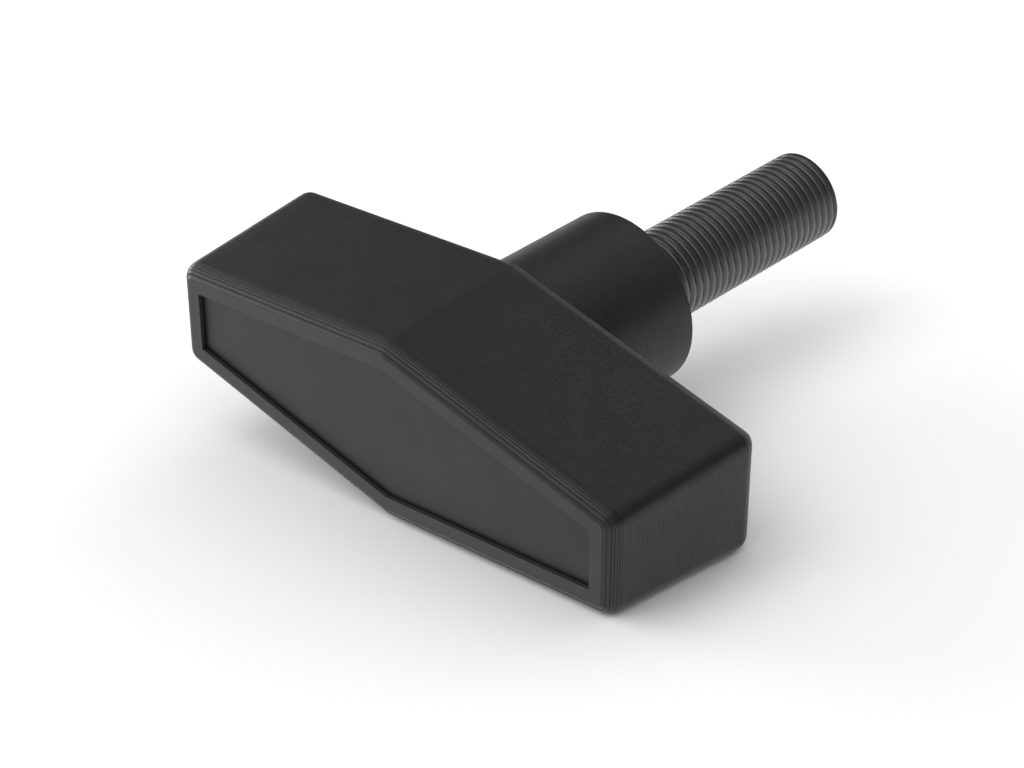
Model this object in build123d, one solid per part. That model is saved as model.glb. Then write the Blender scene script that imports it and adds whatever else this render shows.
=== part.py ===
"""T-handle wing screw for drum hardware: a thumb bar, a round hub on its back and a threaded stud.

The bar is a drafted six-sided block, higher in the middle than at its ends, with rolled edges and
a shallow recess in its front. The screw is one solid. It is drawn with the bar's front upwards and
the stud pointing down, then laid on the lower right facet of the bar, where it rests when loose.
"""

import os
from math import atan, cos, radians, sin, tan

from build123d import *

# Thumb bar, measured on its front before the edges are rounded
bar_length = 48.0
bar_depth = 15.0
middle_height = 16.4
end_height = 9.05
draft_degrees = 3.8
edge_radius = 1.35

# Recess in the front of the bar
rim_width = 2.15
recess_depth = 0.4

# Hub behind the bar
hub_diameter = 15.1
hub_length = 12.1

# Stud for a 5/16 in hole with 32 threads per inch, drawn at the thread's outer diameter
stud_diameter = 7.94
stud_length = 22.7
tip_chamfer = 0.15

# Slope of the long facets from the middle to the ends, and the draft, in radians
slope = atan((middle_height - end_height) / bar_length)
draft = radians(draft_degrees)

# The drawing's XY plane is the back of the bar, so the front is at +Z and the stud below
back_plane = Plane.XY
front_plane = back_plane.offset(bar_depth)
stud_direction = Vector(0, 0, -1)


def bar_corners(growth):
    """Corners of the front's outline with each of its sides moved outwards by growth."""
    half_length = bar_length / 2 + growth
    half_middle = middle_height / 2 + growth / cos(slope)
    half_end = half_middle - half_length * tan(slope)
    return [
        (half_length, half_end),
        (0, half_middle),
        (-half_length, half_end),
        (-half_length, -half_end),
        (0, -half_middle),
        (half_length, -half_end),
    ]


def thumb_bar():
    """Bar that narrows from its back to its front by the draft, rounded, then recessed."""
    with BuildPart() as bar:
        with BuildSketch(back_plane):
            Polygon(*bar_corners(bar_depth * tan(draft)), align=None)
        extrude(amount=bar_depth, taper=draft_degrees)
        fillet(bar.edges(), radius=edge_radius)
        with BuildSketch(front_plane):
            Polygon(*bar_corners(-rim_width), align=None)
        extrude(amount=-recess_depth, mode=Mode.SUBTRACT)
    return bar.part


def hub_and_stud():
    """Turned shape behind the bar: a plain hub, then the stud with its chamfered tip."""
    with BuildPart() as turned:
        with BuildSketch(back_plane):
            Circle(hub_diameter / 2)
        extrude(amount=-hub_length)
        with BuildSketch(back_plane.offset(-hub_length)):
            Circle(stud_diameter / 2)
        extrude(amount=-stud_length)
        tip = turned.faces().sort_by(Axis.Z)[0]
        chamfer(tip.edges(), length=tip_chamfer)
    return turned.part


def resting_plane():
    """Plane on the middle of the lower right facet, its Z into the bar, its Y under the stud."""
    middle_depth = bar_depth / 2
    corners = bar_corners(middle_depth * tan(draft))
    bottom_x, bottom_y = corners[4]
    right_x, right_y = corners[5]
    middle = Vector((bottom_x + right_x) / 2, (bottom_y + right_y) / 2, middle_depth)
    into_bar = Vector(-sin(slope) * cos(draft), cos(slope) * cos(draft), -sin(draft))
    return Plane(origin=middle, x_dir=stud_direction.cross(into_bar), z_dir=into_bar)


drawn_screw = thumb_bar() + hub_and_stud()
wing_screw = resting_plane().to_local_coords(drawn_screw)

os.makedirs("parts", exist_ok=True)
export_step(wing_screw, "parts/wing_screw.step")
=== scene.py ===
import math

import bmesh
import bpy
import numpy as np
from mathutils import Matrix, Vector


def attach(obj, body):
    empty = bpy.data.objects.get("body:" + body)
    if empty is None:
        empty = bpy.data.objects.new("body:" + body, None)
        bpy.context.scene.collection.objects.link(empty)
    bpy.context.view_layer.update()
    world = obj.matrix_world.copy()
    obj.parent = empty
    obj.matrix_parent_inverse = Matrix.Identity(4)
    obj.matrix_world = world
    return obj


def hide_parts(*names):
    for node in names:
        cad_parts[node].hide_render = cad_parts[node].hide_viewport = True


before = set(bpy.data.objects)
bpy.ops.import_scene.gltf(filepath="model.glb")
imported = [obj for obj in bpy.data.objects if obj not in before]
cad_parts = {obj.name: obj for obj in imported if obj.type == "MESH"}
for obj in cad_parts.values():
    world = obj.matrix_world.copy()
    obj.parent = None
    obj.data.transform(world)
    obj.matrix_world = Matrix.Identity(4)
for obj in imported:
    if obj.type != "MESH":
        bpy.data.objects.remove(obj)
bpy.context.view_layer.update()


# The thumb bar is a six-sided block of black nylon, built up in fine layers across the line of
# the stud. It widens towards its back, all its edges are rolled, and its front is hollowed a
# little inside a flat rim. Sizes are in millimetres, with the front at +Z and the back at Z = 0.

bar_length = 48.0
bar_depth = 15.0
middle_height = 16.4
end_height = 9.05
draft = math.radians(3.8)
edge_radius = 1.35
rim_width = 2.15
recess_depth = 0.4

slope = math.atan((middle_height - end_height) / bar_length)

# The edges of each layer are rolled in by layer_edge, which leaves a seam between two layers.
# Where the shape slopes, a layer's side stands step_share of the way to a square stair.
layer_height = 0.2
layer_edge = 0.03
step_share = 0.45
step_half = layer_height / 2 * step_share
layer_tolerance = 0.001

# Points of a quarter of the outline: on the end, round the corner, on the facet, at the ridge
end_steps = 2
corner_steps = 8
facet_steps = 17
ridge_steps = 2


def bar_outline(growth, radius):
    """One closed ring of the bar, from the middle of its right end and anticlockwise.

    growth moves each side of the front's outline outwards, and radius rounds its corners.
    """
    core = growth - radius
    length = bar_length / 2 + core
    middle = middle_height / 2 + core / math.cos(slope)
    end = middle - length * math.tan(slope)
    facet_angle = math.pi / 2 - slope
    quarter = [(length + radius, end * step / end_steps) for step in range(end_steps)]
    for step in range(corner_steps + 1):
        angle = facet_angle * step / corner_steps
        quarter.append((length + radius * math.cos(angle), end + radius * math.sin(angle)))
    start = Vector(quarter[-1])
    stop = Vector((radius * math.cos(facet_angle), middle + radius * math.sin(facet_angle)))
    for step in range(1, facet_steps + 1):
        quarter.append(tuple(start.lerp(stop, step / facet_steps)))
    for step in range(1, ridge_steps + 1):
        angle = facet_angle + slope * step / ridge_steps
        quarter.append((radius * math.cos(angle), middle + radius * math.sin(angle)))
    upper = quarter + [(-x, y) for x, y in quarter[-2::-1]]
    return np.array(upper + [(x, -y) for x, y in upper[-2:0:-1]])


def side_growth(height):
    """Growth of the drafted side at a height above the back."""
    return (bar_depth - height) * math.tan(draft)


def bar_layer(inset, height):
    """Outline of the bar's layer at a height above the back, drawn in by inset.

    A rounding starts where it leans as the drafted side does. The inset fades out where the
    rounding turns to the front or the back.
    """
    growth, radius = side_growth(height), edge_radius
    for centre, up in ((bar_depth - edge_radius, 1), (edge_radius, -1)):
        if (height - centre - edge_radius * math.sin(draft)) * up > 0:
            radius = math.sqrt(edge_radius**2 - (height - centre)**2)
            growth = side_growth(centre) - edge_radius / math.cos(draft) + radius
    faded = inset * radius / edge_radius
    return bar_outline(growth - faded, radius - faded)


def recess_layer(inset, height):
    """Outline of the recess's upright wall, the same at each height, cut into the rim by inset."""
    return bar_outline(inset - rim_width, 0.0)


def layer_heights(start, stop):
    """Heights from start to stop at which one layer ends and the next begins."""
    low, high = sorted((start, stop))
    first = math.floor(low / layer_height + layer_tolerance) + 1
    last = math.ceil(high / layer_height - layer_tolerance)
    heights = [low] + [step * layer_height for step in range(first, last)] + [high]
    return heights if start < stop else heights[::-1]


rings = []
dips = []


def add_ring(points, height, dip=0.0):
    """Adds a ring of points at one height, and how far down in a groove they lie, up to 1."""
    rings.append(np.column_stack([points, np.full(len(points), height)]))
    dips.append(np.broadcast_to(dip, len(points)))


def add_seam(side, seam, height):
    """Adds the ring in the bottom of a seam, which lies as deep as it is drawn in from the side."""
    add_ring(seam, height, np.abs(side - seam).max() / layer_edge)


def add_layers(outline, start, stop):
    """Adds the rings of one layer after another, each with its edge rolled into a seam."""
    heights = layer_heights(start, stop)
    roll = math.copysign(layer_edge, stop - start)
    for near, far in zip(heights, heights[1:]):
        inwards = (far - near) / 2 * step_share
        near_side, near_seam = outline(0.0, near + inwards), outline(layer_edge, near + inwards)
        far_side, far_seam = outline(0.0, far - inwards), outline(layer_edge, far - inwards)
        add_seam(near_side, near_seam, near)
        add_ring(near_side, near + roll)
        add_ring(far_side, far - roll)
        add_seam(far_side, far_seam, far)


# The floor of the recess gets two thirds of a seam's painted shade, darker and less glossy, and its
# innermost ring is almost a line. A ring at flat_margin from an edge keeps the flat face beside it
# from looking rounded.
floor_height = bar_depth - recess_depth
floor_insets = (4.9, 3.9, 3.0, rim_width + layer_edge)
recess_painted_shade = 0.65
flat_margin = 2 * layer_edge

for inset in floor_insets:
    add_ring(bar_outline(-inset, 0.0), floor_height, recess_painted_shade)
add_layers(recess_layer, floor_height, bar_depth)
add_ring(recess_layer(flat_margin, bar_depth), bar_depth)
add_ring(bar_layer(flat_margin, bar_depth - step_half), bar_depth)
add_layers(bar_layer, bar_depth, 0.0)
add_ring(bar_layer(flat_margin, step_half), 0.0)


# The hub is a plain round boss of the same piece, built in the same layers. Its end is cut off
# square, with a sharp rim, and bears on whatever the screw clamps.

hub_diameter = 15.1
hub_length = 12.1
back_shares = (0.35, 0.7)

points_round = len(rings[0])
angles = np.arange(points_round) * 2 * math.pi / points_round
circle = np.column_stack([np.cos(angles), np.sin(angles)])


def hub_layer(inset, height):
    """Outline of the hub, the same at each height, drawn in by inset."""
    return circle * (hub_diameter / 2 - inset)


back_edge = bar_layer(layer_edge, 0.0)
hub_foot = hub_layer(layer_edge, 0.0)
for share in back_shares:
    add_ring(back_edge + (hub_foot - back_edge) * share, 0.0)
add_layers(hub_layer, 0.0, -hub_length)
add_ring(hub_layer(flat_margin, -hub_length), -hub_length)


# The stud carries a fine right-hand thread, run up to the hub, its crests four layers apart. They
# are round and shallow, as built layers leave them, and the stud's tip is chamfered.

stud_diameter = 7.94
stud_length = 22.7
tip_chamfer = 0.15
thread_pitch = 4 * layer_height
thread_depth = 0.27
thread_start = 0.43
steps_per_pitch = 12
# Share of a seam's painted shade, darker and less glossy, laid in the thread's grooves
thread_groove_painted_shade = 0.5
hub_end_margin = 1.8
tip_shares = (0.9, 0.6, 0.3, 0.08)

stud_radius = stud_diameter / 2
stud_steps = round(stud_length / thread_pitch * steps_per_pitch)
turn_share = angles / (2 * math.pi)


def thread_dip(height):
    """How far down in the thread the stud lies all round at a height, from 0 on a crest to 1.

    The thread's profile is a row of round beads.
    """
    phase = height / thread_pitch - turn_share + thread_start
    from_crest = 2 * np.abs((phase + 0.5) % 1.0 - 0.5)
    return 1 - np.sqrt(1 - from_crest**2)


add_ring(circle * (stud_radius + hub_end_margin), -hub_length)
for step in range(stud_steps + 1):
    below = stud_length * step / stud_steps
    dip = thread_dip(-hub_length - below)
    limit = stud_radius - max(0.0, tip_chamfer - stud_length + below)
    radius = np.minimum(stud_radius - thread_depth * dip, limit)
    add_ring(circle * radius[:, None], -hub_length - below, thread_groove_painted_shade * dip)
for share in tip_shares:
    add_ring(circle * (stud_radius - tip_chamfer) * share, -hub_length - stud_length)


# All three are one solid, so their rings are joined into one closed skin, and the whole is laid
# on the lower right facet of the bar, which is how the loose screw comes to rest.

MM = 0.001
merge_distance = 1e-7
sharp_degrees = 52

facet_middle = side_growth(bar_depth / 2)
half_length = bar_length / 2 + facet_middle
half_middle = middle_height / 2 + facet_middle / math.cos(slope)
half_end = half_middle - half_length * math.tan(slope)
rest_point = Vector((half_length / 2, -(half_middle + half_end) / 2, bar_depth / 2))
into_bar = Vector((
    -math.sin(slope) * math.cos(draft),
    math.cos(slope) * math.cos(draft),
    -math.sin(draft),
))
stud_way = Vector((0, 0, -1))
across = stud_way.cross(into_bar).normalized()
along = into_bar.cross(across)
turned = Matrix((across, along, into_bar)).to_4x4()
laid = Matrix.Scale(MM, 4) @ turned @ Matrix.Translation(-rest_point)


def skin(name, rings, dips):
    """Mesh that joins each ring to the next and closes the first and the last."""
    count = len(rings[0])
    mesh = bpy.data.meshes.new(name)
    points = np.concatenate(rings)
    faces = []
    for ring in range(len(rings) - 1):
        for point in range(count):
            following = (point + 1) % count
            first, second = ring * count, (ring + 1) * count
            faces.append((first + point, second + point, second + following, first + following))
    last = (len(rings) - 1) * count
    faces.append(tuple(range(count)))
    faces.append(tuple(last + point for point in reversed(range(count))))
    mesh.from_pydata(points.tolist(), [], faces)
    groove = mesh.attributes.new("groove", "FLOAT", "POINT")
    groove.data.foreach_set("value", np.concatenate(dips).astype(np.float32))
    mesh.transform(laid)
    clean = bmesh.new()
    clean.from_mesh(mesh)
    bmesh.ops.remove_doubles(clean, verts=clean.verts, dist=merge_distance)
    bmesh.ops.dissolve_degenerate(clean, edges=clean.edges, dist=merge_distance)
    bmesh.ops.recalc_face_normals(clean, faces=clean.faces)
    clean.to_mesh(mesh)
    clean.free()
    mesh.polygons.foreach_set("use_smooth", [True] * len(mesh.polygons))
    mesh.set_sharp_from_angle(angle=math.radians(sharp_degrees))
    return mesh


screw = bpy.data.objects.new("t_screw", skin("t_screw", rings, dips))
bpy.context.scene.collection.objects.link(screw)


# Nylon dyed black, as built: a fine dry grain and a soft broad gloss. Painted shade makes it darker
# and less glossy down in the seams between layers, in the thread's grooves and on the floor of the
# recess. The grain of its powder, some 0.06 mm, is drawn as coarse as it needs to show.

# Colour and gloss of the open nylon, and of the painted shade at the bottom of a groove
open_nylon_colour = "181820"
seam_painted_shade_colour = "13131a"
open_nylon_shine = 0.53
seam_painted_shade_shine = 0.36
nylon_ior = 1.53
lowest_roughness = 0.42
highest_roughness = 0.48
cloud_size = 3.0
cloud_low = 0.3
cloud_high = 0.7
grain_size = 0.16
grain_height = 0.02
grain_strength = 0.1


def linear(hex_code):
    """Linear colour of an sRGB hex value."""
    channels = [int(hex_code[start:start + 2], 16) / 255 for start in (0, 2, 4)]
    return [c / 12.92 if c <= 0.04045 else ((c + 0.055) / 1.055) ** 2.4 for c in channels] + [1.0]


def add_node(tree, kind, settings=None, inputs=None):
    """Adds a node, sets its own settings, and sets or links each of its inputs."""
    node = tree.nodes.new(kind)
    for name, value in (settings or {}).items():
        setattr(node, name, value)
    for name, value in (inputs or {}).items():
        if isinstance(value, bpy.types.NodeSocket):
            tree.links.new(value, node.inputs[name])
        else:
            node.inputs[name].default_value = value
    return node


black_nylon = bpy.data.materials.new("black_dyed_nylon")
black_nylon.use_nodes = True
tree = black_nylon.node_tree
tree.nodes.clear()
place = add_node(tree, "ShaderNodeTexCoord").outputs["Object"]
groove = add_node(tree, "ShaderNodeAttribute", {"attribute_name": "groove"}).outputs["Fac"]
grain = add_node(tree, "ShaderNodeTexNoise", {"noise_dimensions": "3D"},
                 {"Vector": place, "Scale": 1 / (grain_size * MM), "Detail": 2.0, "Roughness": 0.5})
cloud = add_node(tree, "ShaderNodeTexNoise", {"noise_dimensions": "3D"},
                 {"Vector": place, "Scale": 1 / (cloud_size * MM), "Detail": 3.0, "Roughness": 0.5})
# The groove depth paints shade: darker colour and weaker gloss towards the bottom of each groove
tone = add_node(tree, "ShaderNodeMix", {"data_type": "RGBA"},
                {"Factor": groove, "A": linear(open_nylon_colour), "B": linear(seam_painted_shade_colour)})
shine = add_node(tree, "ShaderNodeMapRange", {},
                 {"Value": groove, "To Min": open_nylon_shine, "To Max": seam_painted_shade_shine})
gloss = add_node(tree, "ShaderNodeMapRange", {},
                 {"Value": cloud.outputs["Fac"], "From Min": cloud_low, "From Max": cloud_high,
                  "To Min": lowest_roughness, "To Max": highest_roughness})
bump = add_node(tree, "ShaderNodeBump", {},
                {"Height": grain.outputs["Fac"], "Strength": grain_strength,
                 "Distance": grain_height * MM})
surface = add_node(tree, "ShaderNodeBsdfPrincipled", {},
                   {"Base Color": tone.outputs["Result"], "Roughness": gloss.outputs["Result"],
                    "IOR": nylon_ior, "Specular IOR Level": shine.outputs["Result"],
                    "Normal": bump.outputs["Normal"]})
add_node(tree, "ShaderNodeOutputMaterial", {}, {"Surface": surface.outputs["BSDF"]})
screw.data.materials.append(black_nylon)


# The stud is the same nylon, waxed so that it turns easily. The wax fills the grain and lies over
# it as a second, clear gloss, a little tighter than the nylon's own.

wax_roughness = 0.4
wax_margin = 0.01

waxed_nylon = black_nylon.copy()
waxed_nylon.name = "waxed_black_nylon"
waxed_surface = waxed_nylon.node_tree.nodes[surface.name]
waxed_surface.inputs["Coat Weight"].default_value = 1.0
waxed_surface.inputs["Coat Roughness"].default_value = wax_roughness
screw.data.materials.append(waxed_nylon)

stud_start = laid @ Vector((0, 0, -hub_length - wax_margin))
laid_stud_way = (laid.to_3x3() @ stud_way).normalized()
for face in screw.data.polygons:
    if (face.center - stud_start).dot(laid_stud_way) > 0:
        face.material_index = 1

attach(screw, "root")
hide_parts("wing_screw")


# White table that the screw lies on. It stays white to the camera and to reflections, and the
# white that the camera sees is dimmed where the screw hides it, so the soft shadow is kept.

table_radius = 0.5
table_corners = 96
table_colour = "f4f4f4"
seen_white = 0.535
reflected_white = 0.49

# A reach of 0 sets no limit to how far away a thing may stand and still dim the table
shadow_reach = 0.0
shadow_power = 1.65
shadow_samples = 4

bpy.ops.mesh.primitive_circle_add(vertices=table_corners, radius=table_radius, fill_type="NGON",
                                  location=(0, 0, 0))
table = bpy.context.object
table.name = "table"
table_white = bpy.data.materials.new("white_table")
table_white.use_nodes = True
tree = table_white.node_tree
tree.nodes.clear()
rays = add_node(tree, "ShaderNodeLightPath")
openness = add_node(tree, "ShaderNodeAmbientOcclusion", {"samples": shadow_samples},
                    {"Distance": shadow_reach})
dimmed = add_node(tree, "ShaderNodeMath", {"operation": "POWER"},
                  {0: openness.outputs["AO"], 1: shadow_power})
seen = add_node(tree, "ShaderNodeMath", {"operation": "MULTIPLY"},
                {0: dimmed.outputs[0], 1: seen_white})
to_camera = add_node(tree, "ShaderNodeMath", {"operation": "MULTIPLY"},
                     {0: rays.outputs["Is Camera Ray"], 1: seen.outputs[0]})
to_gloss = add_node(tree, "ShaderNodeMath", {"operation": "MULTIPLY"},
                    {0: rays.outputs["Is Glossy Ray"], 1: reflected_white})
shown = add_node(tree, "ShaderNodeMath", {"operation": "ADD"},
                 {0: to_camera.outputs[0], 1: to_gloss.outputs[0]})
white = add_node(tree, "ShaderNodeBsdfDiffuse", {}, {"Color": linear(table_colour)})
lit = add_node(tree, "ShaderNodeEmission", {}, {"Strength": shown.outputs[0]})
both = add_node(tree, "ShaderNodeAddShader", {}, {0: white.outputs[0], 1: lit.outputs[0]})
add_node(tree, "ShaderNodeOutputMaterial", {}, {"Surface": both.outputs[0]})
table.data.materials.append(table_white)


# Studio light: a dim room, a little brighter in front and above, with three soft boxes. The
# strongest stands on the table to the left, one hangs in front of it, and a weak one is behind.
# The camera sees the far wall as plain white.

bright_side = Vector((0.046, -0.906, 0.421)).normalized()
dim_level = 0.10
bright_level = 0.62
dim_below = 0.16
bright_above = 1.08
room_colour = "ffffff"
wall_white = 1.0

world = bpy.data.worlds.new("studio")
bpy.context.scene.world = world
world.use_nodes = True
tree = world.node_tree
tree.nodes.clear()
direction = add_node(tree, "ShaderNodeTexCoord").outputs["Generated"]
towards_bright = add_node(tree, "ShaderNodeVectorMath", {"operation": "DOT_PRODUCT"},
                          {0: direction, 1: bright_side})
level = add_node(tree, "ShaderNodeMapRange", {"interpolation_type": "SMOOTHSTEP"},
                 {"Value": towards_bright.outputs["Value"],
                  "From Min": dim_below, "From Max": bright_above,
                  "To Min": dim_level, "To Max": bright_level})
rays = add_node(tree, "ShaderNodeLightPath")
strength = add_node(tree, "ShaderNodeMix", {"data_type": "FLOAT"},
                    {"Factor": rays.outputs["Is Camera Ray"],
                     "A": level.outputs["Result"], "B": wall_white})
room = add_node(tree, "ShaderNodeBackground", {},
                {"Color": linear(room_colour), "Strength": strength.outputs["Result"]})
add_node(tree, "ShaderNodeOutputWorld", {}, {"Surface": room.outputs[0]})


def soft_box(name, azimuth, elevation, width, height, radiance):
    """Adds a soft box one metre from the screw and turned to it, angles in degrees, size in metres."""
    lamp = bpy.data.lights.new(name, "AREA")
    lamp.shape = "RECTANGLE"
    lamp.size = width
    lamp.size_y = height
    lamp.energy = radiance * math.pi * width * height
    raised = Matrix.Rotation(-math.radians(elevation), 3, "Y")
    stand_place = Matrix.Rotation(math.radians(azimuth), 3, "Z") @ raised @ Vector((1, 0, 0))
    stand = bpy.data.objects.new(name, lamp)
    stand.location = stand_place
    stand.rotation_euler = (-stand_place).to_track_quat("-Z", "Y").to_euler()
    bpy.context.scene.collection.objects.link(stand)


soft_box("left", azimuth=187.0, elevation=12.5, width=0.84, height=0.43, radiance=5.8)
soft_box("front_top", azimuth=236.0, elevation=60.0, width=0.64, height=0.64, radiance=1.55)
soft_box("back", azimuth=94.0, elevation=23.0, width=0.80, height=0.80, radiance=1.10)


# The camera looks down the diagonal of front, top and right end, as in the photograph, with a
# long lens. It is placed against the screw's own lines and then turned with it.

lens = 100.0
sensor_width = 36.0
image_width = 1024
image_height = 768
camera_distance = 218.7

# Pixel at which the middle of the bar's front shows
front_middle_x = 383.4
front_middle_y = 434.5

nearest_seen = 0.01
farthest_seen = 20.0

towards_camera = Vector((1, 1, 1)).normalized()
right = Vector((1, 0, -1)).normalized()
up = towards_camera.cross(right)
mm_per_pixel = camera_distance * sensor_width / lens / image_width
eye = (Vector((0, 0, bar_depth)) + towards_camera * camera_distance
       - right * (front_middle_x - image_width / 2) * mm_per_pixel
       + up * (front_middle_y - image_height / 2) * mm_per_pixel)

camera = bpy.data.cameras.new("camera")
camera.lens = lens
camera.sensor_width = sensor_width
camera.clip_start = nearest_seen
camera.clip_end = farthest_seen
viewer = bpy.data.objects.new("camera", camera)
facing = (turned.to_3x3() @ Matrix((right, up, towards_camera)).transposed()).to_4x4()
viewer.matrix_world = Matrix.Translation(laid @ eye) @ facing
bpy.context.scene.collection.objects.link(viewer)
bpy.context.scene.camera = viewer

bpy.context.scene.view_settings.view_transform = "Standard"
